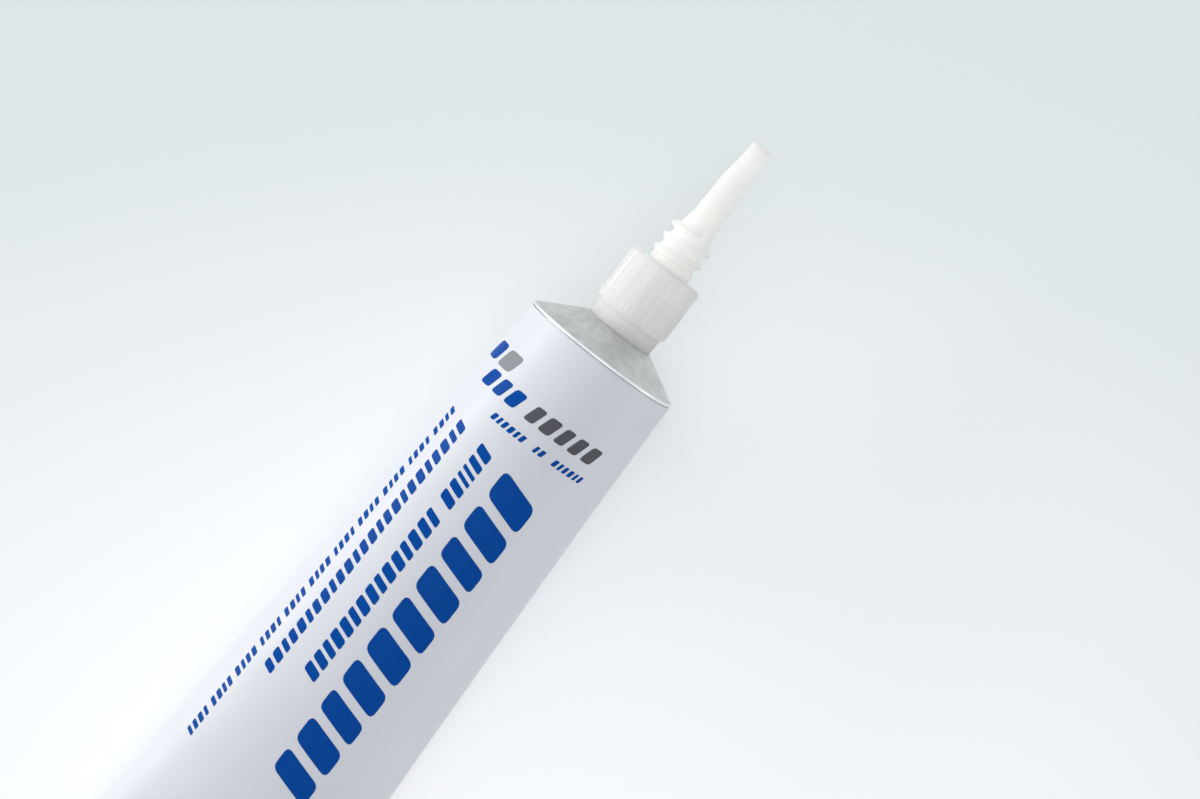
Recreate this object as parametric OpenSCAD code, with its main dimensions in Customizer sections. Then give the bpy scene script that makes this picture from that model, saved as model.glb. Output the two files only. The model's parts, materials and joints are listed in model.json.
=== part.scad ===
// Collapsible metal glue tube with a screw-on plastic nozzle, lying on its back.
// Each piece is drawn on the tube's own axis: z = 0 is the rim, +z runs to the nozzle's tip,
// -y is the printed front. lie_down() then lays the whole tube on the plane z = 0.

/* [Tube body] */
// Outside diameter of the coated body at its round end
body_d = 25; // [20:0.5:32]
// Length of the body from the rim to the top of the folded end
body_len = 134; // [90:1:170]
// Height of the bare rim bead at the round end
rim_h = 0.4; // [0.3:0.05:1.5]
// How far the bare rim stands out past the coated body
rim_proud = 0.12; // [0.06:0.02:0.3]
// Rounding of the rim's edge
rim_round = 0.2; // [0.1:0.05:0.25]
// How slowly the front flattens toward the fold: a higher value keeps it full for longer
front_fullness = 2.4; // [1.2:0.1:3]
// How far the soft body bows to the left at its middle, seen from the printed front
body_bow = 0.85; // [0:0.05:2]

/* [Folded end] */
// Length of the folded end along the tube
fold_len = 6.5; // [4:0.5:10]
// Thickness of the folded layers pressed together
fold_t = 1.2; // [0.8:0.1:2]
// Thickness of the flattened wall where it enters the fold
web_t = 0.7; // [0.4:0.1:0.75]
// How far each end of the fold spreads past the flattened wall
fold_spread = 0.15; // [0.05:0.05:0.5]
// Rounding of the fold's outer edge
fold_round = 0.25; // [0.1:0.05:0.35]

/* [Shoulder and neck] */
// Height of the conical shoulder above the rim
shoulder_h = 3.7; // [2.5:0.1:7]
// Diameter of the flat seat at the top of the shoulder
seat_d = 11.4; // [11.2:0.1:14]
// Diameter of the neck inside the nozzle
neck_d = 9; // [7:0.1:9.6]
// Length of the neck above the seat
neck_len = 8; // [5:0.1:8.5]

/* [Nozzle collar and grip] */
// Running clearance on the radius between the neck and the nozzle's socket
neck_fit = 0.05; // [0.02:0.01:0.1]
// Gap under the nozzle and over the neck's end
seat_gap = 0.15; // [0.1:0.05:0.3]
// Diameter of the plain collar at the nozzle's foot
collar_d = 10.9; // [10.6:0.1:11.1]
// Height of the plain collar
collar_h = 2.5; // [1:0.1:4]
// Diameter of the grip band at its lower end
grip_d = 11.6; // [11.5:0.1:14]
// Height of the grip band, from the collar to the ledge
grip_h = 8.75; // [7:0.05:12]
// How much narrower the grip band is at its top
grip_taper = 0.2; // [0:0.05:0.5]
// Height of the bevel between the collar and the grip band
grip_bevel = 0.3; // [0.1:0.05:0.5]
// Number of grip ribs
rib_count = 12; // [6:1:16]
// Width of one grip rib
rib_w = 0.9; // [0.5:0.1:1.4]
// Height of the ribs above the grip band
rib_proud = 0.25; // [0.1:0.05:0.5]
// Distance from each end of the grip band to where a rib's bevel starts inside the wall
rib_inset = 0.1; // [0.05:0.05:0.6]
// Angle of the first rib to the left of the printed front
rib_start = 7.5; // [0:0.5:30]

/* [Cap thread on the nozzle] */
// Diameter of the threaded core at the ledge
core_d = 6.8; // [6.4:0.1:7.2]
// Diameter of the threaded core at its top
core_top_d = 5.2; // [5:0.1:5.6]
// Height of the threaded core above the ledge
core_h = 7.9; // [7.6:0.1:10]
// Diameter over the thread's crest
crest_d = 7.6; // [7.5:0.1:8.2]
// Pitch of the single-start right-hand thread
pitch = 2.1; // [2:0.05:2.4]
// Number of turns of the thread
thread_turns = 3; // [1.5:0.25:3]
// Height of the thread's upper end above the ledge
thread_top = 6.8; // [6.6:0.1:7.2]
// Angle of the thread's upper end to the right of the printed front
thread_end = 28; // [0:1:90]
// Width of the thread at its root, inside the core
thread_w = 1.8; // [1.4:0.1:1.9]
// Width of the thread's crest
crest_w = 0.3; // [0.2:0.05:0.5]

/* [Spout] */
// Diameter at the foot of the spout
spout_d = 4.54; // [4.2:0.02:4.8]
// Length of the nearly straight part of the spout
spout_len = 6.8; // [4:0.1:12]
// Height of the bevel between the threaded core and the spout
spout_step = 1.2; // [0.6:0.1:2]
// Diameter at the top of the nearly straight part
spout_top_d = 4.26; // [4:0.02:4.5]
// Height of the bevel between the spout and its fine tip
tip_step = 1.7; // [0.8:0.1:2.5]
// Diameter at the foot of the fine tip
tip_foot_d = 3.62; // [3.4:0.02:3.9]
// Length of the fine tip
tip_len = 4.8; // [4.5:0.1:10]
// Diameter of the fine tip at its end
tip_d = 2.9; // [2.6:0.1:3.3]
// Rounding of the tip's outer edge
tip_round = 0.2; // [0.1:0.05:0.35]

/* [Channel through the nozzle] */
// Diameter of the orifice at the tip
orifice_d = 1.4; // [1:0.1:1.6]
// Length of the straight bore behind the orifice
orifice_len = 4; // [2:0.1:4.4]
// Diameter of the channel where it leaves the socket
channel_d = 4.4; // [3.6:0.1:4.6]
// Height of the cone from the socket into the channel
channel_cone = 2; // [1:0.1:2.4]

/* [Hidden] */

body_r = body_d / 2;
rim_r = body_r + rim_proud;
// A round tube pressed flat is half its own circumference wide
flat_w = PI * body_d / 2;
fold_w = flat_w + 2 * fold_spread;

seat_z = shoulder_h;
neck_top = seat_z + neck_len;
foot_z = seat_z + seat_gap;
grip_z = foot_z + collar_h;
ledge_z = grip_z + grip_h;
core_top = ledge_z + core_h;
spout_z = core_top + spout_step;
spout_top = spout_z + spout_len;
tip_z = spout_top + tip_step;
tip_top = tip_z + tip_len;

socket_r = neck_d / 2 + neck_fit;
socket_top = neck_top + seat_gap;

// The tube lies on the rim bead's lower edge and on the edge of the fold
fold_rest = body_len + fold_len - fold_round;
lie_angle = atan((rim_r - fold_t / 2) / (fold_rest - rim_h));
lift = rim_r * cos(lie_angle) + rim_h * sin(lie_angle);
front_end = tip_top * cos(lie_angle) + (tip_d / 2 - tip_round) * sin(lie_angle);
back_end = (body_len + fold_len) * cos(lie_angle) + (fold_t / 2 - fold_round) * sin(lie_angle);
middle_y = (front_end - back_end) / 2;

// Rings of the flattening body, and points round each ring
RINGS = 16;
RING_PTS = 60;
// How far the loft runs on inside the fold
SINK = 0.4;
// Sections of the thread in one turn, and the share of a turn over which each end fades
THREAD_STEPS = 30;
FADE = 0.18;
// Depth to which the thread's root is sunk in the core
ROOT_SINK = 0.45;
$fn = 96;

module lie_down() {
    translate([0, -middle_y, lift]) rotate([lie_angle - 90, 0, 0]) children();
}

// Side faces between rings of n points, then the two ends, all as triangles facing out
function skin_faces(rings, n) = concat(
    [for (k = [0:rings - 2], i = [0:n - 1]) [k * n + i, k * n + (i + 1) % n, (k + 1) * n + i]],
    [for (k = [0:rings - 2], i = [0:n - 1])
        [k * n + (i + 1) % n, (k + 1) * n + (i + 1) % n, (k + 1) * n + i]],
    [for (i = [1:n - 2]) [0, i + 1, i]],
    [for (i = [1:n - 2]) [(rings - 1) * n, (rings - 1) * n + i, (rings - 1) * n + i + 1]]
);

// Section of the body at share s of the way from the rim (0) to the fold (1): the width grows
// to the flat width, the back stays a straight line, and the front stays full and then closes.
function half_width(s) = body_r + (flat_w / 2 - body_r) * s;
function back_depth(s) = body_r + (web_t / 2 - body_r) * s;
function front_depth(s) = body_r + (web_t / 2 - body_r) * pow(s, front_fullness);
function sideways(s) = -body_bow * sin(180 * s);
function section(s, z) = [
    for (i = [0:RING_PTS - 1])
        let (a = 360 * i / RING_PTS, depth = sin(a) > 0 ? back_depth(s) : front_depth(s))
            [half_width(s) * cos(a) + sideways(s), depth * sin(a), z]
];

module flattening_body() {
    shares = [for (k = [0:RINGS - 1]) k / (RINGS - 1)];
    rings = concat(
        [section(0, -rim_h / 2)],
        [for (s = shares) section(s, -rim_h - s * (body_len - rim_h))],
        [section(1, -body_len - SINK)]
    );
    polyhedron([for (ring = rings, p = ring) p], skin_faces(len(rings), RING_PTS));
}

// Side view of the pressed fold: the layers turn over to the back
module folded_end() {
    end = -body_len - fold_len;
    rotate([90, 0, 90]) linear_extrude(fold_w, center = true) polygon([
        [-fold_t / 2, -body_len],
        [-fold_t / 2, end + fold_round],
        [-fold_t / 2 + fold_round, end],
        [fold_t / 2 - fold_round, end],
        [fold_t / 2, end + fold_round],
        [fold_t / 2, -body_len]
    ]);
}

// Rim bead, conical shoulder, seat and closed neck, turned as one profile
module shoulder_and_neck() {
    rotate_extrude() polygon(concat(
        [[0, -rim_h], [rim_r, -rim_h]],
        [for (a = [0:15:60]) [rim_r - rim_round * (1 - cos(a)), rim_round * (sin(a) - 1)]],
        [[seat_d / 2, seat_z], [neck_d / 2, seat_z], [neck_d / 2, neck_top], [0, neck_top]]
    ));
}

module tube() {
    color("whitesmoke") lie_down() union() {
        flattening_body();
        folded_end();
        shoulder_and_neck();
    }
}

function core_r(z) = (core_d + (core_top_d - core_d) * (z - ledge_z) / core_h) / 2;

// One section of the thread, t turns below its upper end, fading into the core at both ends
function thread_section(t) = let (
    a = thread_end - 90 - 360 * t,
    z = ledge_z + thread_top - pitch * t,
    root = core_r(z) - ROOT_SINK,
    fade = min(1, t / FADE, (thread_turns - t) / FADE),
    crest = root + ROOT_SINK / 2 + (crest_d / 2 - root - ROOT_SINK / 2) * fade
) [
    for (p = [[root, -thread_w / 2], [root, thread_w / 2], [crest, crest_w / 2], [crest, -crest_w / 2]])
        [p[0] * cos(a), p[0] * sin(a), z + p[1]]
];

module cap_thread() {
    count = ceil(thread_turns * THREAD_STEPS);
    rings = [for (k = [0:count]) thread_section(thread_turns * k / count)];
    polyhedron([for (ring = rings, p = ring) p], skin_faces(len(rings), 4));
}

module nozzle_outside() {
    rotate_extrude() polygon([
        [0, foot_z],
        [collar_d / 2, foot_z],
        [collar_d / 2, grip_z - grip_bevel],
        [grip_d / 2, grip_z],
        [(grip_d - grip_taper) / 2, ledge_z],
        [core_d / 2, ledge_z],
        [core_top_d / 2, core_top],
        [spout_d / 2, spout_z],
        [spout_top_d / 2, spout_top],
        [tip_foot_d / 2, tip_z],
        [tip_d / 2, tip_top - tip_round],
        [tip_d / 2 - tip_round, tip_top],
        [0, tip_top]
    ]);
}

// Ribs cut from one turned band, so that their faces are round and their ends bevelled.
// The band starts at mid wall, and its bevels come out through the grip's surface.
module grip_ribs() {
    foot_r = grip_d / 2;
    top_r = foot_r - grip_taper / 2;
    mid_r = (socket_r + top_r) / 2;
    bevel = foot_r + rib_proud - mid_r;
    low = grip_z + rib_inset;
    high = ledge_z - rib_inset;
    intersection() {
        rotate_extrude() polygon([
            [mid_r, low],
            [foot_r + rib_proud, low + bevel],
            [top_r + rib_proud, high - bevel],
            [mid_r, high]
        ]);
        for (k = [0:rib_count - 1]) rotate([0, 0, -90 - rib_start + 360 * k / rib_count])
            translate([socket_r, -rib_w / 2, grip_z]) cube([grip_d / 2, rib_w, grip_h]);
    }
}

// Socket for the neck, cone, long taper and the straight bore at the tip
module nozzle_inside() {
    past = 1;
    rotate_extrude() polygon([
        [0, foot_z - past],
        [socket_r, foot_z - past],
        [socket_r, socket_top],
        [channel_d / 2, socket_top + channel_cone],
        [orifice_d / 2, tip_top - orifice_len],
        [orifice_d / 2, tip_top + past],
        [0, tip_top + past]
    ]);
}

module nozzle() {
    color("white") lie_down() difference() {
        union() {
            nozzle_outside();
            grip_ribs();
            cap_thread();
        }
        nozzle_inside();
    }
}

tube();
nozzle();
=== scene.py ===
import json
import math

import bmesh
import bpy
from mathutils import Matrix, Vector, noise


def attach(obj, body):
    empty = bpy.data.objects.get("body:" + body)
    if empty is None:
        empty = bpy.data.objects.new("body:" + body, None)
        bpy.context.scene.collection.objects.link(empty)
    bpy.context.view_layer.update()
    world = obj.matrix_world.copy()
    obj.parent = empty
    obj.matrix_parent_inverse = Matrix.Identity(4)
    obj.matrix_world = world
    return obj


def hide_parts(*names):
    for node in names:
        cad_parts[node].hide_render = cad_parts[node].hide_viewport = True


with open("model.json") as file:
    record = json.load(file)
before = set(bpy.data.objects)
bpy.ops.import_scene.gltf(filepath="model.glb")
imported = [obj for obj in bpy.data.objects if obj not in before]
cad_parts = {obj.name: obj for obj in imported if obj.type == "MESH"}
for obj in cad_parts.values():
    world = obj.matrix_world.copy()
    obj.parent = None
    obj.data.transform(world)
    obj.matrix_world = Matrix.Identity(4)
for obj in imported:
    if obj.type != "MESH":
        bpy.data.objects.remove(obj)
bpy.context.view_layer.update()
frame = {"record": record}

# Sizes are in millimetres on the tube's own axis: z is 0 at the rim and grows toward the tip,
# +y is the back, and d is the distance below the rim.
MM = 0.001
WELD = 0.002
BOX_CLEAR = 0.01

# The metal tube
BODY_R = 12.5
BODY_LEN = 134.0
FRONT_FULLNESS = 2.4
BODY_BOW = 0.85
RIM_H = 0.4
RIM_R = 12.62
WEB_T = 0.7
FOLD_LEN = 6.5
FOLD_SPREAD = 0.15
SEAT_Z = 3.7
SEAT_R = 5.7
NECK_R = 4.5
NECK_TOP = 11.7

# The nozzle
FOOT_Z = 3.85
SOCKET_R = 4.55
SOCKET_TOP = 11.85
COLLAR_R = 5.45
GRIP_Z = 6.35
GRIP_R = 5.8
LEDGE_Z = 15.1
LEDGE_R = 5.7
CORE_R = 3.4
CORE_TOP_R = 2.6
CORE_TOP = 23.0
TIP_TOP = 37.5
ORIFICE_R = 0.7
ORIFICE_LEN = 4.0
RIB_COUNT = 12
RIB_START = 7.5
RIB_W = 0.9
RIB_PROUD = 0.25
THREAD_TOP = LEDGE_Z + 6.8
THREAD_END = 28.0
THREAD_PITCH = 2.1
THREAD_TURNS = 3.0
THREAD_R = 3.8


def mount(name):
    return next(m for m in frame["record"]["mounts"] if m["name"] == name)


# Place of the tube's own axis in the frame, from the orifice and the way it points
orifice = mount("tip_orifice")
AXIS = Vector(orifice["axis"]).normalized()
RIM_CENTRE = Vector(orifice["pos_m"]) - AXIS * (TIP_TOP - ORIFICE_LEN / 2) * MM
LAY = Matrix.Translation(RIM_CENTRE) @ Matrix(
    ((1, 0, 0), (0, AXIS.z, AXIS.y), (0, -AXIS.y, AXIS.z))
).to_4x4() @ Matrix.Scale(MM, 4)


def mix(a, b, t):
    return a + (b - a) * t


def soft_step(low, high, x):
    t = min(1.0, max(0.0, (x - low) / (high - low)))
    return t * t * (3 - 2 * t)


def piece(bm, name, body, slot, *materials):
    """Lays a shape drawn on the tube's own axis in the frame, as a piece that rides on a body."""
    bm.transform(LAY)
    mesh = bpy.data.meshes.new(name)
    bm.to_mesh(mesh)
    bm.free()
    for polygon in mesh.polygons:
        polygon.use_smooth = True
    obj = bpy.data.objects.new(name, mesh)
    bpy.context.scene.collection.objects.link(obj)
    for material in materials:
        mesh.materials.append(material)
    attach(obj, body)
    return obj


def wrap(bm, around, rows, place, material=0):
    """Wraps a grid round the axis, its seam at the back: place(turn, row) gives each point.

    turn goes from 0 to 1. The rows go up the outside, so that the faces point outwards.
    """
    uv = bm.loops.layers.uv.verify()
    known = set(bm.faces)
    grid = bmesh.ops.create_grid(bm, x_segments=around, y_segments=len(rows) - 1, size=0.5)
    faces = [f for f in bm.faces if f not in known]
    for f in faces:
        f.material_index = material
        for loop in f.loops:
            loop[uv].uv = (loop.vert.co.x + 0.5, loop.vert.co.y + 0.5)
    for v in grid["verts"]:
        row = rows[round((v.co.y + 0.5) * (len(rows) - 1))]
        v.co = place(v.co.x + 0.5, row)
    bmesh.ops.remove_doubles(bm, verts=grid["verts"], dist=WELD)
    bm.normal_update()


FILLET_STEPS = 5


def rounded_path(corners):
    """Points along a profile of corners (r, z, fillet, step), step the spacing up to the next."""
    arcs = []
    for i, (r, z, fillet, _) in enumerate(corners):
        here = Vector((r, z))
        if fillet == 0 or i in (0, len(corners) - 1):
            arcs.append([here])
            continue
        before = Vector(corners[i - 1][:2]) - here
        after = Vector(corners[i + 1][:2]) - here
        cut = min(fillet, before.length / 2.1, after.length / 2.1)
        start, end = here + before.normalized() * cut, here + after.normalized() * cut
        shares = [k / FILLET_STEPS for k in range(FILLET_STEPS + 1)]
        arcs.append([start.lerp(here, t).lerp(here.lerp(end, t), t) for t in shares])
    points = []
    for i, arc in enumerate(arcs):
        points += arc
        if i + 1 < len(arcs):
            gap = arcs[i + 1][0] - arc[-1]
            count = max(1, math.ceil(gap.length / corners[i][3]))
            points += [arc[-1] + gap * k / count for k in range(1, count)]
    return points


# The metal tube. Its wall is one sheet: u is the way round it from the middle of the front, and
# d is the way down it.
def half_axes(d):
    """Half width, depth to the front and depth to the back of the section d below the rim."""
    s = min(1.0, max(0.0, (d - RIM_H) / (BODY_LEN - RIM_H)))
    flat = math.pi * BODY_R / 2
    width = mix(BODY_R, flat, s)
    return width, mix(BODY_R, WEB_T / 2, s**FRONT_FULLNESS), mix(BODY_R, WEB_T / 2, s)


QUARTER_STEPS = 48
quarters = {}


def quarter_lengths(d):
    """Lengths along the front and back quarters of a section, at even steps of its angle."""
    key = round(d, 3)
    if key not in quarters:
        width, front, back = half_axes(d)
        sums = []
        for depth in (front, back):
            last, total, table = (0.0, depth), 0.0, [0.0]
            for k in range(1, QUARTER_STEPS + 1):
                a = math.pi / 2 * k / QUARTER_STEPS
                point = (width * math.sin(a), depth * math.cos(a))
                total += math.dist(last, point)
                table.append(total)
                last = point
            sums.append(table)
        quarters[key] = sums
    return quarters[key]


def angle_at(length, table):
    """Angle at which a quarter reaches a length."""
    low, high = 0, QUARTER_STEPS
    while high - low > 1:
        middle = (low + high) // 2
        if table[middle] > length:
            high = middle
        else:
            low = middle
    share = (length - table[low]) / max(1e-9, table[low + 1] - table[low])
    return math.pi / 2 * (low + share) / QUARTER_STEPS


def half_round(d):
    front, back = quarter_lengths(d)
    return front[-1] + back[-1]


# Soft dents: where their middle is (u, d), how far they reach each way, and how deep they are
DENTS = (
    ((-6.0, 7.0), (7.0, 5.0), 0.16),
    ((5.5, 16.0), (9.0, 7.0), 0.20),
    ((-1.5, 27.0), (8.0, 9.0), 0.22),
    ((12.0, 40.0), (7.0, 16.0), 0.22),
    ((-10.0, 52.0), (9.0, 14.0), 0.30),
    ((3.0, 76.0), (12.0, 16.0), 0.35),
    ((-7.0, 104.0), (9.0, 12.0), 0.30),
    ((10.0, 112.0), (8.0, 12.0), 0.25),
)

# A faint ripple over the same wall: its depth, and its lengths round and down
RIPPLE_DEEP = 0.05
RIPPLE_ROUND, RIPPLE_DOWN = 5.0, 9.0

# How far round the wall is dented in full, and from where the back is smooth
DENTED_TO, SMOOTH_FROM = 24.0, 30.0


def dent(u, d):
    """How far the wall is pressed in by the dents and a faint ripple, none at rim, fold or back."""
    depth = 0.0
    for (mid_u, mid_d), (reach_u, reach_d), deep in DENTS:
        far = ((u - mid_u) / reach_u) ** 2 + ((d - mid_d) / reach_d) ** 2
        if far < 9:
            depth += deep * math.exp(-far)
    depth += RIPPLE_DEEP * (1 + noise.noise(Vector((u / RIPPLE_ROUND, d / RIPPLE_DOWN, 3.7))))
    front = 1 - soft_step(DENTED_TO, SMOOTH_FROM, abs(u))
    return depth * front * soft_step(0.8, 6.0, d) * (1 - soft_step(BODY_LEN - 14, BODY_LEN - 2, d))


def wall(u, d):
    """Point of the wall at u round and d down."""
    width, front, back = half_axes(d)
    bow = -BODY_BOW * math.sin(math.pi * max(0.0, (d - RIM_H) / (BODY_LEN - RIM_H)))
    front_table, back_table = quarter_lengths(d)
    press = dent(u, d)
    side = math.copysign(1, u)
    if abs(u) <= front_table[-1]:
        a = angle_at(abs(u), front_table)
        y = -(front - press) * math.cos(a)
    else:
        a = angle_at(max(0.0, half_round(d) - abs(u)), back_table)
        y = (back - press) * math.cos(a)
    return Vector((bow + side * (width - press) * math.sin(a), y, -d))


def off_wall(u, d, height):
    """Point at a height above the wall, for the ink that lies on it."""
    step = 0.1
    across = wall(u + step, d) - wall(u - step, d)
    down = wall(u, d + step) - wall(u, d - step)
    return wall(u, d) + across.cross(down).normalized() * -height


# The groove between the rim's bead and the edge of the coat
GROOVE_H = 0.13
GROOVE_DEEP = 0.3
BEAD_R = RIM_R - BOX_CLEAR
HEM_DEEP = 0.3
HEM = (BODY_R - GROOVE_DEEP, -RIM_H - GROOVE_H - HEM_DEEP)


def shoulder_profile():
    """From the groove under the rim, over its bead and up the cone to the neck's closed top."""
    return rounded_path([
        (*HEM, 0, 1.0),
        (BODY_R - GROOVE_DEEP, -RIM_H, 0.06, 0.2),
        (BEAD_R, -RIM_H, 0.12, 0.2),
        (BEAD_R, -0.06, 0.2, 0.2),
        (BEAD_R - 0.2, -0.02, 0.08, 0.4),
        (SEAT_R, SEAT_Z, 0.25, 0.4),
        (NECK_R, SEAT_Z, 0.1, 0.12),
        (NECK_R, NECK_TOP, 0.25, 0.3),
        (NECK_R - 1.2, NECK_TOP, 0.15, 0.3),
        (NECK_R - 1.3, NECK_TOP - 0.7, 0.1, 0.3),
        (0.0, NECK_TOP - 0.75, 0, 0.6),
    ])


# The neck's fine thread: cut into the neck, and into the socket that screws on it
NECK_THREAD_DEEP = 0.35
NECK_THREAD_PITCH = 1.5
NECK_THREAD_FROM = SEAT_Z + 0.9
NECK_THREAD_TO = NECK_TOP - 0.4


def neck_groove(turn, z):
    """Depth of the fine thread's groove at a height: right-hand, fading at both ends."""
    phase = (z / NECK_THREAD_PITCH - turn) % 1.0
    groove = soft_step(0.1, 0.4, phase) * (1 - soft_step(0.6, 0.9, phase))
    begun = soft_step(NECK_THREAD_FROM, NECK_THREAD_FROM + 0.7, z)
    ended = soft_step(NECK_THREAD_TO - 0.6, NECK_THREAD_TO, z)
    return NECK_THREAD_DEEP * groove * begun * (1 - ended)


# Where the two walls of the flat end come together, before they are turned over. They square up
# to the sheet's thickness on the way, and shut a little further down, inside it.
NIP_LEN = 0.8
NIP_SQUARE = 12.0
SHUT_LEN = 0.3
SHUT_WIDTH = 0.99
SHEET_T = 0.34
LAYER_GAP = 0.38

# The coat's edge turns in over two rows, each this far in
EDGE_TUCK, BEND_TUCK = 0.25, 0.03
TUBE_AROUND = 192


def make_tube(enamel, bare_aluminium):
    """The wall from inside the fold up to the hem in the groove, and the shoulder on from there."""
    bm = bmesh.new()
    edge = RIM_H + GROOVE_H
    coat = edge + 0.08
    shut = BODY_LEN + NIP_LEN + SHUT_LEN
    rows = [0.0, edge, edge + 0.03, coat, edge + 0.3, 1.1, 1.6, 2.4]
    rows += [3.4 + k for k in range(130)]
    rows += [BODY_LEN + NIP_LEN * k / 4 for k in range(5)]
    rows.append(shut)

    def on_shoulder(turn, point):
        r, z = point
        if abs(r - NECK_R) < 0.01:
            r -= neck_groove(turn, z)
        a = 2 * math.pi * (turn - 0.5)
        return Vector((r * math.sin(a), -r * math.cos(a), z))

    def on_wall(turn, d):
        if d < edge:
            return on_shoulder(turn, HEM)
        held = min(d, BODY_LEN)
        point = wall((turn - 0.5) * 2 * half_round(held), held)
        if d < coat:
            tucked = 1 - (EDGE_TUCK if d == edge else BEND_TUCK) / BODY_R
            point.x *= tucked
            point.y *= tucked
        t = (d - held) / NIP_LEN
        pressed = SHEET_T / 2 * max(-1.0, min(1.0, NIP_SQUARE * point.y / WEB_T))
        point.y = mix(point.y, pressed - LAYER_GAP, t)
        if d == shut:
            point.x *= SHUT_WIDTH
            point.y = -LAYER_GAP
        point.z = -d
        return point

    wrap(bm, TUBE_AROUND, rows[::-1], on_wall, material=0)
    wrap(bm, TUBE_AROUND, shoulder_profile(), on_shoulder, material=1)
    bmesh.ops.remove_doubles(bm, verts=bm.verts, dist=WELD)
    return piece(bm, "metal_tube", "tube", "coated_aluminium", enamel, bare_aluminium)


# Fine lines that the closing jaws press across the fold
CRIMP_PITCH = 0.9
CRIMP_DEEP = 0.04
FOLD_STEP = 0.1
FOLD_ACROSS = 24

# How far the fold's second turn lies below the flat end, how far its sheet reaches up inside the
# wall, and the share by which it is narrower there
TURN_BELOW = 1.1
SHEET_INSIDE = 1.5
NARROWED = 0.2


def fold_path():
    """The pressed sheet from the side, as points (y, z): down the front, then turned over twice."""
    flat_end = -BODY_LEN
    nip = flat_end - NIP_LEN
    end = flat_end - FOLD_LEN + LAYER_GAP / 2 + SHEET_T / 2
    top = flat_end - TURN_BELOW
    path = [(0.0, flat_end + SHEET_INSIDE), (0.0, flat_end), (-LAYER_GAP, nip)]
    stops = [(-LAYER_GAP, nip, end), (0.0, end, top), (LAYER_GAP, top, end + FOLD_STEP)]
    for k, (y, z_from, z_to) in enumerate(stops):
        count = math.ceil(abs(z_to - z_from) / FOLD_STEP)
        path += [(y, mix(z_from, z_to, i / count)) for i in range(1, count + 1)]
        if k < 2:
            way = math.copysign(1, z_to - z_from)
            turn = [math.pi * i / 6 for i in range(1, 6)]
            r = LAYER_GAP / 2
            path += [(y + r - r * math.cos(a), z_to + way * r * math.sin(a)) for a in turn]
    pressed = []
    for y, z in path:
        down = -z - BODY_LEN
        fade = soft_step(0.9, 1.6, down) * (1 - soft_step(FOLD_LEN - 1.2, FOLD_LEN - 0.5, down))
        pressed.append((y + CRIMP_DEEP * fade * math.sin(2 * math.pi * z / CRIMP_PITCH), z))
    return pressed


def make_fold(enamel, bare_aluminium):
    """The folded end: one sheet drawn out across the tube, its cut sides bare."""
    bm = bmesh.new()
    half = math.pi * BODY_R / 2 + FOLD_SPREAD - BOX_CLEAR
    path = fold_path()
    bmesh.ops.create_grid(bm, x_segments=FOLD_ACROSS, y_segments=len(path) - 1, size=0.5)
    for v in bm.verts:
        y, z = path[round((v.co.y + 0.5) * (len(path) - 1))]
        kept = 1 - NARROWED * soft_step(-BODY_LEN - NIP_LEN, -BODY_LEN, z)
        v.co = (2 * half * v.co.x * kept, y, z)
    bmesh.ops.recalc_face_normals(bm, faces=bm.faces)
    obj = piece(bm, "folded_end", "tube", "coated_aluminium", enamel, bare_aluminium)
    solid = obj.modifiers.new("sheet", "SOLIDIFY")
    solid.thickness = SHEET_T * MM
    solid.offset = 0
    solid.material_offset_rim = 1
    return obj


# The nozzle. Its foot almost touches the seat, and its collar ends in a small step.
FOOT_NEAR = 0.13
STEP_H = 0.14
NOZZLE_AROUND = 240


def nozzle_profile():
    """Once round the moulding's wall: up the outside, in at the tip and down to the socket."""
    return rounded_path([
        (SOCKET_R, FOOT_Z + 4.0, 0, 0.15),
        (SOCKET_R, FOOT_Z - FOOT_NEAR, 0.25, 0.3),
        (COLLAR_R, FOOT_Z - FOOT_NEAR, 0.12, 0.25),
        (COLLAR_R, GRIP_Z - STEP_H, 0.06, 0.12),
        (GRIP_R, GRIP_Z, 0.1, 0.12),
        (LEDGE_R, LEDGE_Z, 0.22, 0.2),
        (CORE_R, LEDGE_Z, 0.3, 0.11),
        (CORE_TOP_R, CORE_TOP, 0.5, 0.3),
        (2.27, CORE_TOP + 1.2, 0.8, 0.4),
        (2.13, CORE_TOP + 8.0, 1.2, 0.3),
        (1.81, CORE_TOP + 9.7, 1.2, 0.4),
        (1.45, TIP_TOP, 0.22, 0.12),
        (ORIFICE_R, TIP_TOP, 0.08, 0.3),
        (ORIFICE_R, TIP_TOP - ORIFICE_LEN, 0.8, 0.8),
        (2.2, SOCKET_TOP + 2.0, 0.4, 0.4),
        (SOCKET_R, SOCKET_TOP, 0.2, 0.15),
        (SOCKET_R, FOOT_Z + 4.0, 0, 0.15),
    ])


def rib_height(turn, z):
    """How far a grip rib stands out: straight sides, a bevel at each end."""
    pitch = 360 / RIB_COUNT
    off = (turn * 360 + RIB_START) % pitch
    off = min(off, pitch - off)
    beside = math.radians(off) * GRIP_R - RIB_W / 2
    ends = min(z - GRIP_Z - 0.25, LEDGE_Z - 0.1 - z) / RIB_PROUD
    return RIB_PROUD * (1 - soft_step(-0.02, 0.16, beside)) * min(1.0, max(0.0, ends))


THREAD_HALF_W = 0.66
THREAD_FLANK = 0.5


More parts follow.
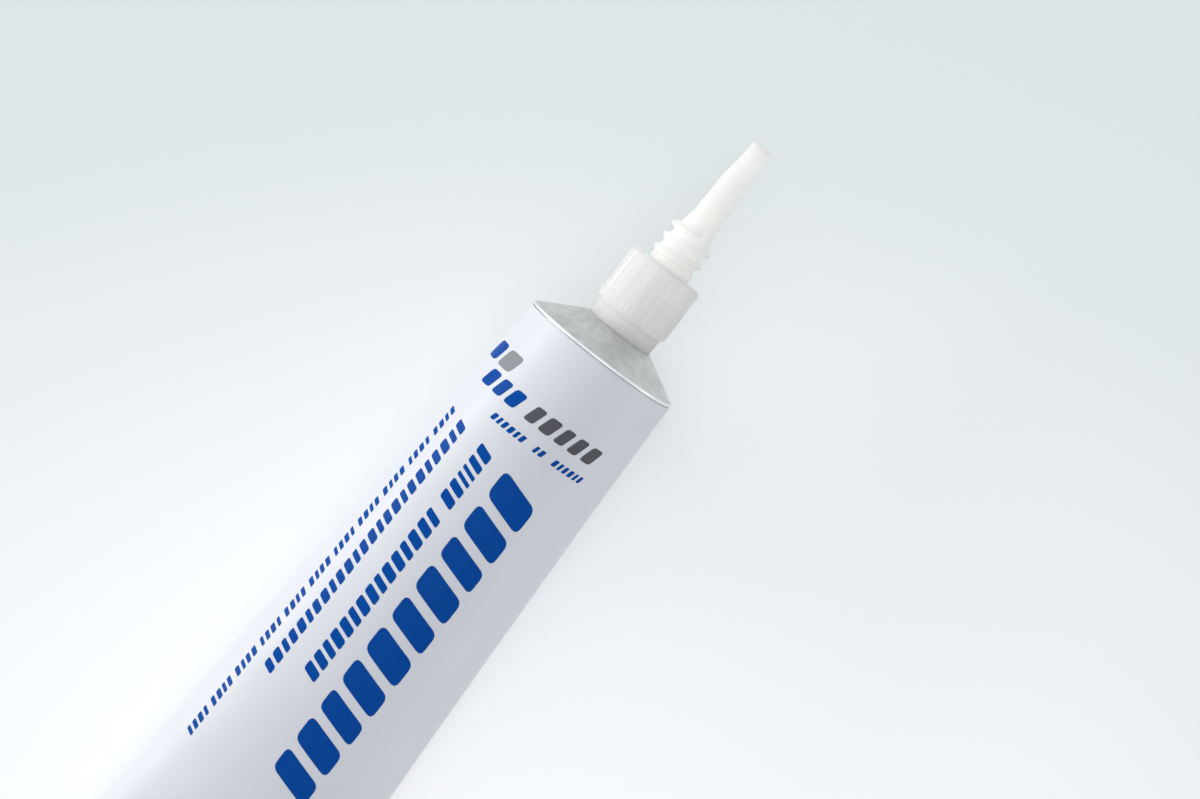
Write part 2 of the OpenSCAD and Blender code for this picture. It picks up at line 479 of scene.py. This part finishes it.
def thread_height(turn, z, core):
    """How far the cap thread stands out of the core: one start, right-hand, fading at both ends."""
    below = (THREAD_END / 360 - turn) % 1.0
    turns_down = (THREAD_TOP - z) / THREAD_PITCH
    nearest = below + min(max(0, round(turns_down - below)), math.floor(THREAD_TURNS - below))
    away = abs(turns_down - nearest) * THREAD_PITCH
    flank = min(1.0, max(0.0, (THREAD_HALF_W - away) / THREAD_FLANK))
    fade = soft_step(0.0, 0.1, nearest) * soft_step(0.0, 0.3, THREAD_TURNS - nearest)
    return (THREAD_R - core) * flank * fade


def make_nozzle(polyethylene, channel_wall):
    """The moulding. Walls that face the axis are a plainer plastic, so that the bore stays dark."""
    bm = bmesh.new()

    def on_nozzle(turn, point):
        r, z = point
        turn -= 0.5
        if r > LEDGE_R - 0.05 and GRIP_Z < z < LEDGE_Z:
            r += rib_height(turn, z)
        elif CORE_TOP_R - 0.1 < r < CORE_R + 0.2 and LEDGE_Z - 0.01 < z < CORE_TOP:
            r += thread_height(turn, z, r)
        elif abs(r - SOCKET_R) < 0.01:
            r += neck_groove(turn, z)
        a = 2 * math.pi * turn
        return Vector((r * math.sin(a), -r * math.cos(a), z))

    wrap(bm, NOZZLE_AROUND, nozzle_profile(), on_nozzle)
    for f in bm.faces:
        middle = f.calc_center_median()
        if f.normal.dot(Vector((middle.x, middle.y, 0)).normalized()) < -0.5:
            f.material_index = 1
    return piece(bm, "nozzle_moulding", "nozzle", "nozzle_plastic", polyethylene, channel_wall)


# The print: plain leaning blocks of ink that lie on the wall, in place of words
INK_HEIGHT = 0.03
LEAN = 0.32
CORNER_SHARE = 0.28
STRIP_ROUND, STRIP_DOWN = 0.6, 2.0


def ink_block(bm, outline, material):
    """Lays a flat shape of points (u, d) on the wall, cut into strips so that it bends with it."""
    face = bm.faces.new([bm.verts.new((u, d, 0)) for u, d in outline])
    face.material_index = material
    part = [face] + list(face.edges) + list(face.verts)
    for way, spacing in ((0, STRIP_ROUND), (1, STRIP_DOWN)):
        low = min(p[way] for p in outline)
        high = max(p[way] for p in outline)
        normal = Vector((1 - way, way, 0))
        for k in range(math.ceil(low / spacing), math.floor(high / spacing) + 1):
            cut = bmesh.ops.bisect_plane(
                bm, geom=part, plane_co=normal * k * spacing, plane_no=normal, dist=1e-4
            )
            part = cut["geom"]
    for v in part:
        if isinstance(v, bmesh.types.BMVert):
            v.co = off_wall(v.co.x, v.co.y, INK_HEIGHT)


def rounded_outline(corners, radius):
    """A polygon's outline with its corners rounded."""
    points = []
    for i, corner in enumerate(corners):
        here = Vector(corner)
        before = Vector(corners[i - 1]) - here
        after = Vector(corners[(i + 1) % len(corners)]) - here
        start, end = here + before.normalized() * radius, here + after.normalized() * radius
        shares = [k / 4 for k in range(5)]
        points += [start.lerp(here, t).lerp(here.lerp(end, t), t) for t in shares]
    return points


def row_of_blocks(bm, start, down_the_tube, height, widths, gaps, length, material):
    """A printed line: leaning blocks that follow each other across the tube, or down it."""
    along, up = Vector((1, 0)), Vector((0, -1))
    if down_the_tube:
        along, up = Vector((0, 1)), Vector((1, 0))
    s, k = 0.0, 0
    while s + widths[k % len(widths)] <= length:
        width = widths[k % len(widths)]
        lean = LEAN * height
        corners = [(s, 0), (s + width, 0), (s + width + lean, height), (s + lean, height)]
        outline = [Vector(start) + along * a + up * b for a, b in corners]
        ink_block(bm, rounded_outline(outline, min(width, height) * CORNER_SHARE), material)
        s += width + gaps[k % len(gaps)]
        k += 1


# Printed lines: start (u, d), whether it runs down the tube, height, widths, gaps, length and ink
BLUE, DARK_GREY, PALE_GREY = range(3)
PRINTED_LINES = (
    ((-17.2, 10.0), False, 3.0, (3.3,), (1.0,), 3.4, BLUE),
    ((-12.9, 10.0), False, 3.0, (3.4,), (1.0,), 3.5, PALE_GREY),
    ((-13.2, 13.4), False, 2.7, (2.4, 1.9, 2.1), (0.85,), 9.6, BLUE),
    ((-3.1, 13.4), False, 2.7, (1.7, 2.0, 1.6), (0.85,), 13.0, DARK_GREY),
    ((-7.1, 16.4), False, 1.1, (0.8, 0.55, 0.7), (0.4,), 6.6, BLUE),
    ((0.9, 16.4), False, 1.1, (0.55, 0.7), (0.4,), 2.6, BLUE),
    ((4.3, 16.4), False, 1.1, (0.7, 0.5, 0.6), (0.4,), 5.8, BLUE),
    ((-14.4, 18.8), True, 1.4, (0.8, 0.65, 0.9), (0.5, 0.45, 0.5, 1.1), 62.0, BLUE),
    ((-10.9, 19.3), True, 1.9, (1.3, 1.0, 1.45), (0.6,), 46.0, BLUE),
    ((-5.5, 19.8), True, 2.6, (1.5, 1.15, 0.65, 0.65, 1.3), (0.6,), 9.8, BLUE),
    ((-5.5, 31.6), True, 2.6, (1.2, 1.5, 1.6), (0.6,), 30.0, BLUE),
    ((-0.2, 20.7), True, 7.2, (4.5, 4.1, 3.6, 4.3, 3.9), (1.6,), 57.0, BLUE),
)


def make_print(inks):
    bm = bmesh.new()
    for line in PRINTED_LINES:
        row_of_blocks(bm, *line)
    for f in bm.faces:
        f.normal_update()
        middle = f.calc_center_median()
        if f.normal.dot(Vector((middle.x, middle.y, 0))) < 0:
            f.normal_flip()
    return piece(bm, "print", "tube", "coated_aluminium", *inks)


# Materials. Lengths inside them are in millimetres on the tube's own axis, as above.
def linear(hex_colour):
    """An sRGB hex colour as the linear RGBA that Blender's sockets take."""
    parts = [int(hex_colour[k:k + 2], 16) / 255 for k in (1, 3, 5)]
    return [c / 12.92 if c <= 0.04045 else ((c + 0.055) / 1.055) ** 2.4 for c in parts] + [1.0]


def add(tree, kind, inputs, **settings):
    """Adds a node. An input is a value, or another node's output that is linked to it."""
    made = tree.nodes.new(kind)
    for name, value in settings.items():
        setattr(made, name, value)
    for socket, value in inputs.items():
        if isinstance(value, bpy.types.NodeSocket):
            tree.links.new(value, made.inputs[socket])
        else:
            made.inputs[socket].default_value = value
    return made


def new_material(name):
    """An empty material, its tree, its output and the tube's own coordinates in millimetres."""
    material = bpy.data.materials.new(name)
    material.use_nodes = True
    tree = material.node_tree
    tree.nodes.clear()
    output = tree.nodes.new("ShaderNodeOutputMaterial")
    place = add(tree, "ShaderNodeTexCoord", {})
    on_tube = add(tree, "ShaderNodeMapping", {
        0: place.outputs["Object"],
        "Location": RIM_CENTRE,
        "Rotation": LAY.to_euler(),
        "Scale": (MM, MM, MM),
    }, vector_type="TEXTURE")
    return material, tree, output, on_tube.outputs[0]


def noise_at(scale_mm):
    """Noise scale for features of a size in millimetres."""
    return 1 / scale_mm


def white_enamel():
    """White enamel, roller-coated on the metal: an even satin gloss with a faint orange peel."""
    material, tree, output, mm = new_material("roller_coated_white_enamel")
    tone = add(tree, "ShaderNodeTexNoise", {0: mm, "Scale": noise_at(14.0), "Detail": 3.0})
    colour = add(tree, "ShaderNodeMix", {
        0: tone.outputs[0], 6: linear("#DCDDE1"), 7: linear("#E1E2E5")
    }, data_type="RGBA")
    peel = add(tree, "ShaderNodeTexNoise", {0: mm, "Scale": noise_at(0.7), "Detail": 2.0})
    wear = add(tree, "ShaderNodeTexNoise", {0: mm, "Scale": noise_at(5.0), "Detail": 4.0})
    rough = add(tree, "ShaderNodeMapRange", {
        0: wear.outputs[0], "From Min": 0.35, "From Max": 0.7, "To Min": 0.38, "To Max": 0.48
    })
    bump = add(tree, "ShaderNodeBump", {
        "Height": peel.outputs[0], "Strength": 0.08, "Distance": 0.00004
    })
    enamel = add(tree, "ShaderNodeBsdfPrincipled", {
        "Base Color": colour.outputs[2],
        "Roughness": rough.outputs[0],
        "Normal": bump.outputs[0],
        "IOR": 1.5,
        "Specular IOR Level": 0.35,
    })
    tree.links.new(enamel.outputs[0], output.inputs[0])
    return material


def turned_aluminium():
    """Bare aluminium, impact-extruded and turned: dull grey, with fine rings and soft smudges.

    The rim's bead is painted lighter, a painted highlight along the rim.
    """
    material, tree, output, mm = new_material("turned_bare_aluminium")
    split = add(tree, "ShaderNodeSeparateXYZ", {0: mm})
    radial = add(tree, "ShaderNodeCombineXYZ", {0: split.outputs[0], 1: split.outputs[1]})
    radius = add(tree, "ShaderNodeVectorMath", {0: radial.outputs[0]}, operation="LENGTH")
    ring_place = add(tree, "ShaderNodeCombineXYZ", {
        0: radius.outputs["Value"], 1: split.outputs[2]
    })
    rings = add(tree, "ShaderNodeTexNoise", {
        0: ring_place.outputs[0], "Scale": noise_at(0.22), "Detail": 3.0
    })
    smudge = add(tree, "ShaderNodeTexNoise", {
        0: mm, "Scale": noise_at(3.0), "Detail": 5.0, "Roughness": 0.6
    })
    dulled = add(tree, "ShaderNodeMapRange", {
        0: smudge.outputs[0], "From Min": 0.35, "From Max": 0.65
    })
    base = add(tree, "ShaderNodeMix", {
        0: dulled.outputs[0], 6: linear("#E2E3E1"), 7: linear("#D5D6D3")
    }, data_type="RGBA")
    scuff = add(tree, "ShaderNodeTexNoise", {0: mm, "Scale": noise_at(1.4), "Detail": 3.0})
    scuffed = add(tree, "ShaderNodeMapRange", {
        0: scuff.outputs[0], "From Min": 0.45, "From Max": 0.75
    })
    worn = add(tree, "ShaderNodeMix", {
        0: scuffed.outputs[0], 6: base.outputs[2], 7: linear("#CDCDCA")
    }, data_type="RGBA")
    ringed = add(tree, "ShaderNodeMix", {
        0: rings.outputs[0], 6: linear("#ECECEC"), 7: linear("#FFFFFF")
    }, data_type="RGBA")
    colour = add(tree, "ShaderNodeMix", {
        0: 1.0, 6: worn.outputs[2], 7: ringed.outputs[2]
    }, data_type="RGBA", blend_type="MULTIPLY")
    rough = add(tree, "ShaderNodeMapRange", {0: dulled.outputs[0], "To Min": 0.38, "To Max": 0.52})
    bump = add(tree, "ShaderNodeBump", {
        "Height": rings.outputs[0], "Strength": 0.25, "Distance": 0.00003
    })
    # Painted highlight: the colour is lighter on the rim's bead, for the light line the rounded
    # edge catches.
    painted_bead_highlight_mask = add(tree, "ShaderNodeMapRange", {
        0: radius.outputs["Value"], "From Min": BEAD_R - 0.35, "From Max": BEAD_R - 0.25
    })
    painted_bead_highlight = add(tree, "ShaderNodeMix", {
        0: painted_bead_highlight_mask.outputs[0], 6: colour.outputs[2], 7: linear("#EAEBEB")
    }, data_type="RGBA")
    metal = add(tree, "ShaderNodeBsdfPrincipled", {
        "Base Color": painted_bead_highlight.outputs[2],
        "Metallic": 1.0,
        "Roughness": rough.outputs[0],
        "Normal": bump.outputs[0],
    })
    tree.links.new(metal.outputs[0], output.inputs[0])
    return material


def white_polyethylene(name, light_in_it):
    """Natural white polyethylene, injection-moulded: waxy, so that light softens in it.

    A share of the light comes through its thin walls, and shade is painted into its creases:
    ambient occlusion darkens their colour.
    """
    material, tree, output, mm = new_material(name)
    cloud = add(tree, "ShaderNodeTexNoise", {0: mm, "Scale": noise_at(4.0), "Detail": 4.0})
    clear = add(tree, "ShaderNodeMix", {
        0: cloud.outputs[0], 6: linear("#F1F0ED"), 7: linear("#F6F5F2")
    }, data_type="RGBA")
    # Painted shade: ambient occlusion darkens the colour toward grey in creases and recesses.
    painted_crease_shade = add(tree, "ShaderNodeAmbientOcclusion", {
        "Distance": 0.0008
    }, samples=8, only_local=True)
    colour = add(tree, "ShaderNodeMix", {
        0: painted_crease_shade.outputs["AO"], 6: linear("#B4B3AF"), 7: clear.outputs[2]
    }, data_type="RGBA")
    skin = add(tree, "ShaderNodeTexNoise", {0: mm, "Scale": noise_at(0.35), "Detail": 3.0})
    rough = add(tree, "ShaderNodeMapRange", {0: cloud.outputs[0], "To Min": 0.34, "To Max": 0.46})
    bump = add(tree, "ShaderNodeBump", {
        "Height": skin.outputs[0], "Strength": 0.1, "Distance": 0.00005
    })
    plastic = add(tree, "ShaderNodeBsdfPrincipled", {
        "Base Color": colour.outputs[2],
        "Roughness": rough.outputs[0],
        "Normal": bump.outputs[0],
        "IOR": 1.51,
        "Subsurface Weight": light_in_it,
        "Subsurface Radius": (1.0, 0.97, 0.93),
        "Subsurface Scale": 0.006,
        "Specular IOR Level": 0.3,
    }, subsurface_method="BURLEY")
    through = add(tree, "ShaderNodeBsdfTranslucent", {"Color": colour.outputs[2]})
    waxy = add(tree, "ShaderNodeMixShader", {0: 0.4, 1: plastic.outputs[0], 2: through.outputs[0]})
    tree.links.new(waxy.outputs[0], output.inputs[0])
    return material


def printing_ink(name, dense, thin):
    """Printing ink, dry-offset on the coat: flat and dense, a little thinner in fine specks."""
    material, tree, output, mm = new_material(name)
    specks = add(tree, "ShaderNodeTexNoise", {0: mm, "Scale": noise_at(0.5), "Detail": 4.0})
    share = add(tree, "ShaderNodeMapRange", {
        0: specks.outputs[0], "From Min": 0.35, "From Max": 0.75
    })
    colour = add(tree, "ShaderNodeMix", {
        0: share.outputs[0], 6: linear(dense), 7: linear(thin)
    }, data_type="RGBA")
    rough = add(tree, "ShaderNodeMapRange", {0: specks.outputs[0], "To Min": 0.32, "To Max": 0.44})
    ink = add(tree, "ShaderNodeBsdfPrincipled", {
        "Base Color": colour.outputs[2],
        "Roughness": rough.outputs[0],
        "IOR": 1.5,
        "Specular IOR Level": 0.06,
    })
    tree.links.new(ink.outputs[0], output.inputs[0])
    return material


def make_part():
    enamel = white_enamel()
    bare = turned_aluminium()
    inks = (
        printing_ink("printed_blue", "#00489A", "#004CA2"),
        printing_ink("printed_dark_grey", "#58595D", "#606166"),
        printing_ink("printed_pale_grey", "#8E8F91", "#98999B"),
    )
    tube_pieces = [make_tube(enamel, bare), make_fold(enamel, bare), make_print(inks)]
    for obj in tube_pieces:
        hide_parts("tube")
    nozzle = make_nozzle(
        white_polyethylene("moulded_white_polyethylene", 1.0),
        white_polyethylene("moulded_white_polyethylene_channel", 0.0),
    )
    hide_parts("nozzle")


# The place it lies in
FLOOR_HALF = 3.0


def seen(tree):
    """1 for what is seen, also in a reflection or through plastic, and 0 for light on a surface."""
    path = add(tree, "ShaderNodeLightPath", {})
    either = add(tree, "ShaderNodeMath", {
        0: path.outputs["Is Camera Ray"], 1: path.outputs["Is Glossy Ray"]
    }, operation="MAXIMUM")
    return add(tree, "ShaderNodeMath", {
        0: either.outputs[0], 1: path.outputs["Is Transmission Ray"]
    }, operation="MAXIMUM").outputs[0]


def pale_floor():
    """A matt studio sheet with painted light: a painted pool of light makes it brightest beside the
    tube, and painted shade makes it darker far out, where the lamps stand.

    Its own light is for the camera and reflections, so that the lamps' shadow stays.
    """
    material = bpy.data.materials.new("pale_floor")
    material.use_nodes = True
    tree = material.node_tree
    tree.nodes.clear()
    output = tree.nodes.new("ShaderNodeOutputMaterial")
    place = add(tree, "ShaderNodeTexCoord", {})
    turned = add(tree, "ShaderNodeMapping", {
        0: place.outputs["Object"],
        "Location": PAINTED_POOL_MIDDLE,
        "Rotation": (0, 0, math.atan2(IMAGE_RIGHT.y, IMAGE_RIGHT.x)),
        "Scale": PAINTED_POOL_REACH,
    }, vector_type="TEXTURE")
    away = add(tree, "ShaderNodeVectorMath", {0: turned.outputs[0]}, operation="LENGTH")
    share = add(tree, "ShaderNodeMapRange", {
        0: away.outputs["Value"]
    }, interpolation_type="SMOOTHSTEP")
    # Painted pool of light: the colour is lightest round the pool's middle beside the tube.
    near = add(tree, "ShaderNodeMix", {
        0: share.outputs[0], 6: linear("#F9F9F8"), 7: linear("#D3D9D8")
    }, data_type="RGBA")
    # Painted shade: the colour darkens far out, where the lamps light the floor.
    painted_shade_under_lamps = add(tree, "ShaderNodeMapRange", {
        0: away.outputs["Value"], "From Min": 3.5, "From Max": 10.0
    })
    colour = add(tree, "ShaderNodeMix", {
        0: painted_shade_under_lamps.outputs[0], 6: near.outputs[2], 7: linear("#8F9594")
    }, data_type="RGBA")
    lift = add(tree, "ShaderNodeMath", {0: seen(tree), 1: FLOOR_LIFT}, operation="MULTIPLY")
    matt = add(tree, "ShaderNodeBsdfDiffuse", {"Color": colour.outputs[2]})
    own = add(tree, "ShaderNodeEmission", {"Color": colour.outputs[2], "Strength": lift.outputs[0]})
    both = add(tree, "ShaderNodeAddShader", {0: matt.outputs[0], 1: own.outputs[0]})
    tree.links.new(both.outputs[0], output.inputs[0])
    return material


def make_floor():
    bm = bmesh.new()
    bmesh.ops.create_grid(bm, x_segments=1, y_segments=1, size=FLOOR_HALF)
    mesh = bpy.data.meshes.new("floor")
    bm.to_mesh(mesh)
    bm.free()
    mesh.materials.append(pale_floor())
    floor = bpy.data.objects.new("floor", mesh)
    bpy.context.scene.collection.objects.link(floor)


def make_world():
    world = bpy.data.worlds.new("studio")
    bpy.context.scene.world = world
    world.use_nodes = True
    tree = world.node_tree
    tree.nodes.clear()
    output = tree.nodes.new("ShaderNodeOutputWorld")
    room = add(tree, "ShaderNodeBackground", {"Color": linear("#F0F3F9"), "Strength": ROOM_LEVEL})
    backdrop = add(tree, "ShaderNodeBackground", {"Color": linear("#E9EEF2"), "Strength": 1.0})
    shown = add(tree, "ShaderNodeMixShader", {
        0: seen(tree), 1: room.outputs[0], 2: backdrop.outputs[0]
    })
    tree.links.new(shown.outputs[0], output.inputs[0])


def soft_lamp(name, place, aim, width, height, power, colour):
    light = bpy.data.lights.new(name, "AREA")
    light.shape = "RECTANGLE"
    light.size, light.size_y = width, height
    light.energy = power
    light.color = linear(colour)[:3]
    lamp = bpy.data.objects.new(name, light)
    lamp.location = place
    lamp.rotation_euler = (Vector(aim) - Vector(place)).to_track_quat("-Z", "Y").to_euler()
    bpy.context.scene.collection.objects.link(lamp)


def make_camera():
    data = bpy.data.cameras.new("camera")
    data.sensor_fit = "HORIZONTAL"
    data.sensor_width = 36.0
    data.lens = data.sensor_width * CAMERA_RANGE / (PHOTO_WIDTH / PX_PER_MM * MM)
    data.clip_start, data.clip_end = 0.01, 20.0
    camera = bpy.data.objects.new("camera", data)
    turn = Matrix((IMAGE_RIGHT, IMAGE_UP, Vector((0, 0, 1)))).transposed()
    place = Vector((CAMERA_AIM.x, CAMERA_AIM.y, RIM_CENTRE.z + CAMERA_RANGE))
    camera.matrix_world = Matrix.Translation(place) @ turn.to_4x4()
    bpy.context.scene.collection.objects.link(camera)
    bpy.context.scene.camera = camera


# The camera looks straight down. The picture's right and its scale are the photograph's.
PHOTO_WIDTH = 1200
PX_PER_MM = 6.9
CAMERA_RANGE = 0.42
AXIS_LEAN = math.radians(52.2)
IMAGE_RIGHT = Vector((math.sin(AXIS_LEAN), math.cos(AXIS_LEAN), 0))
IMAGE_UP = Vector((-IMAGE_RIGHT.y, IMAGE_RIGHT.x, 0))
CAMERA_AIM = Vector((RIM_CENTRE.x + 0.0038, RIM_CENTRE.y - 0.0057, 0))

# The floor's colour holds a painted pool of light, brightest near the picture's bottom, which dulls
# over these lengths across, up and deep
PAINTED_POOL_MIDDLE = CAMERA_AIM - 0.022 * IMAGE_RIGHT - 0.080 * IMAGE_UP
PAINTED_POOL_REACH = (0.21, 0.15, 0.15)

# Light levels
ROOM_LEVEL = 0.66
FLOOR_LIFT = 0.32

make_part()
make_floor()
make_world()
soft_lamp("key", (-2.4, 0.05, 0.43), (0, 0.03, 0.02), 2.4, 0.8, 40.0, "#FFFFFF")
soft_lamp("edge", (2.4, 0.05, 0.3), (0, 0.03, 0.02), 2.4, 0.7, 6.5, "#FFFFFF")
soft_lamp("fill", (0.1, 0.0, 1.2), (0, 0.03, 0), 0.8, 0.8, 1.9, "#F4F6FF")
make_camera()
bpy.context.scene.view_settings.view_transform = "Standard"
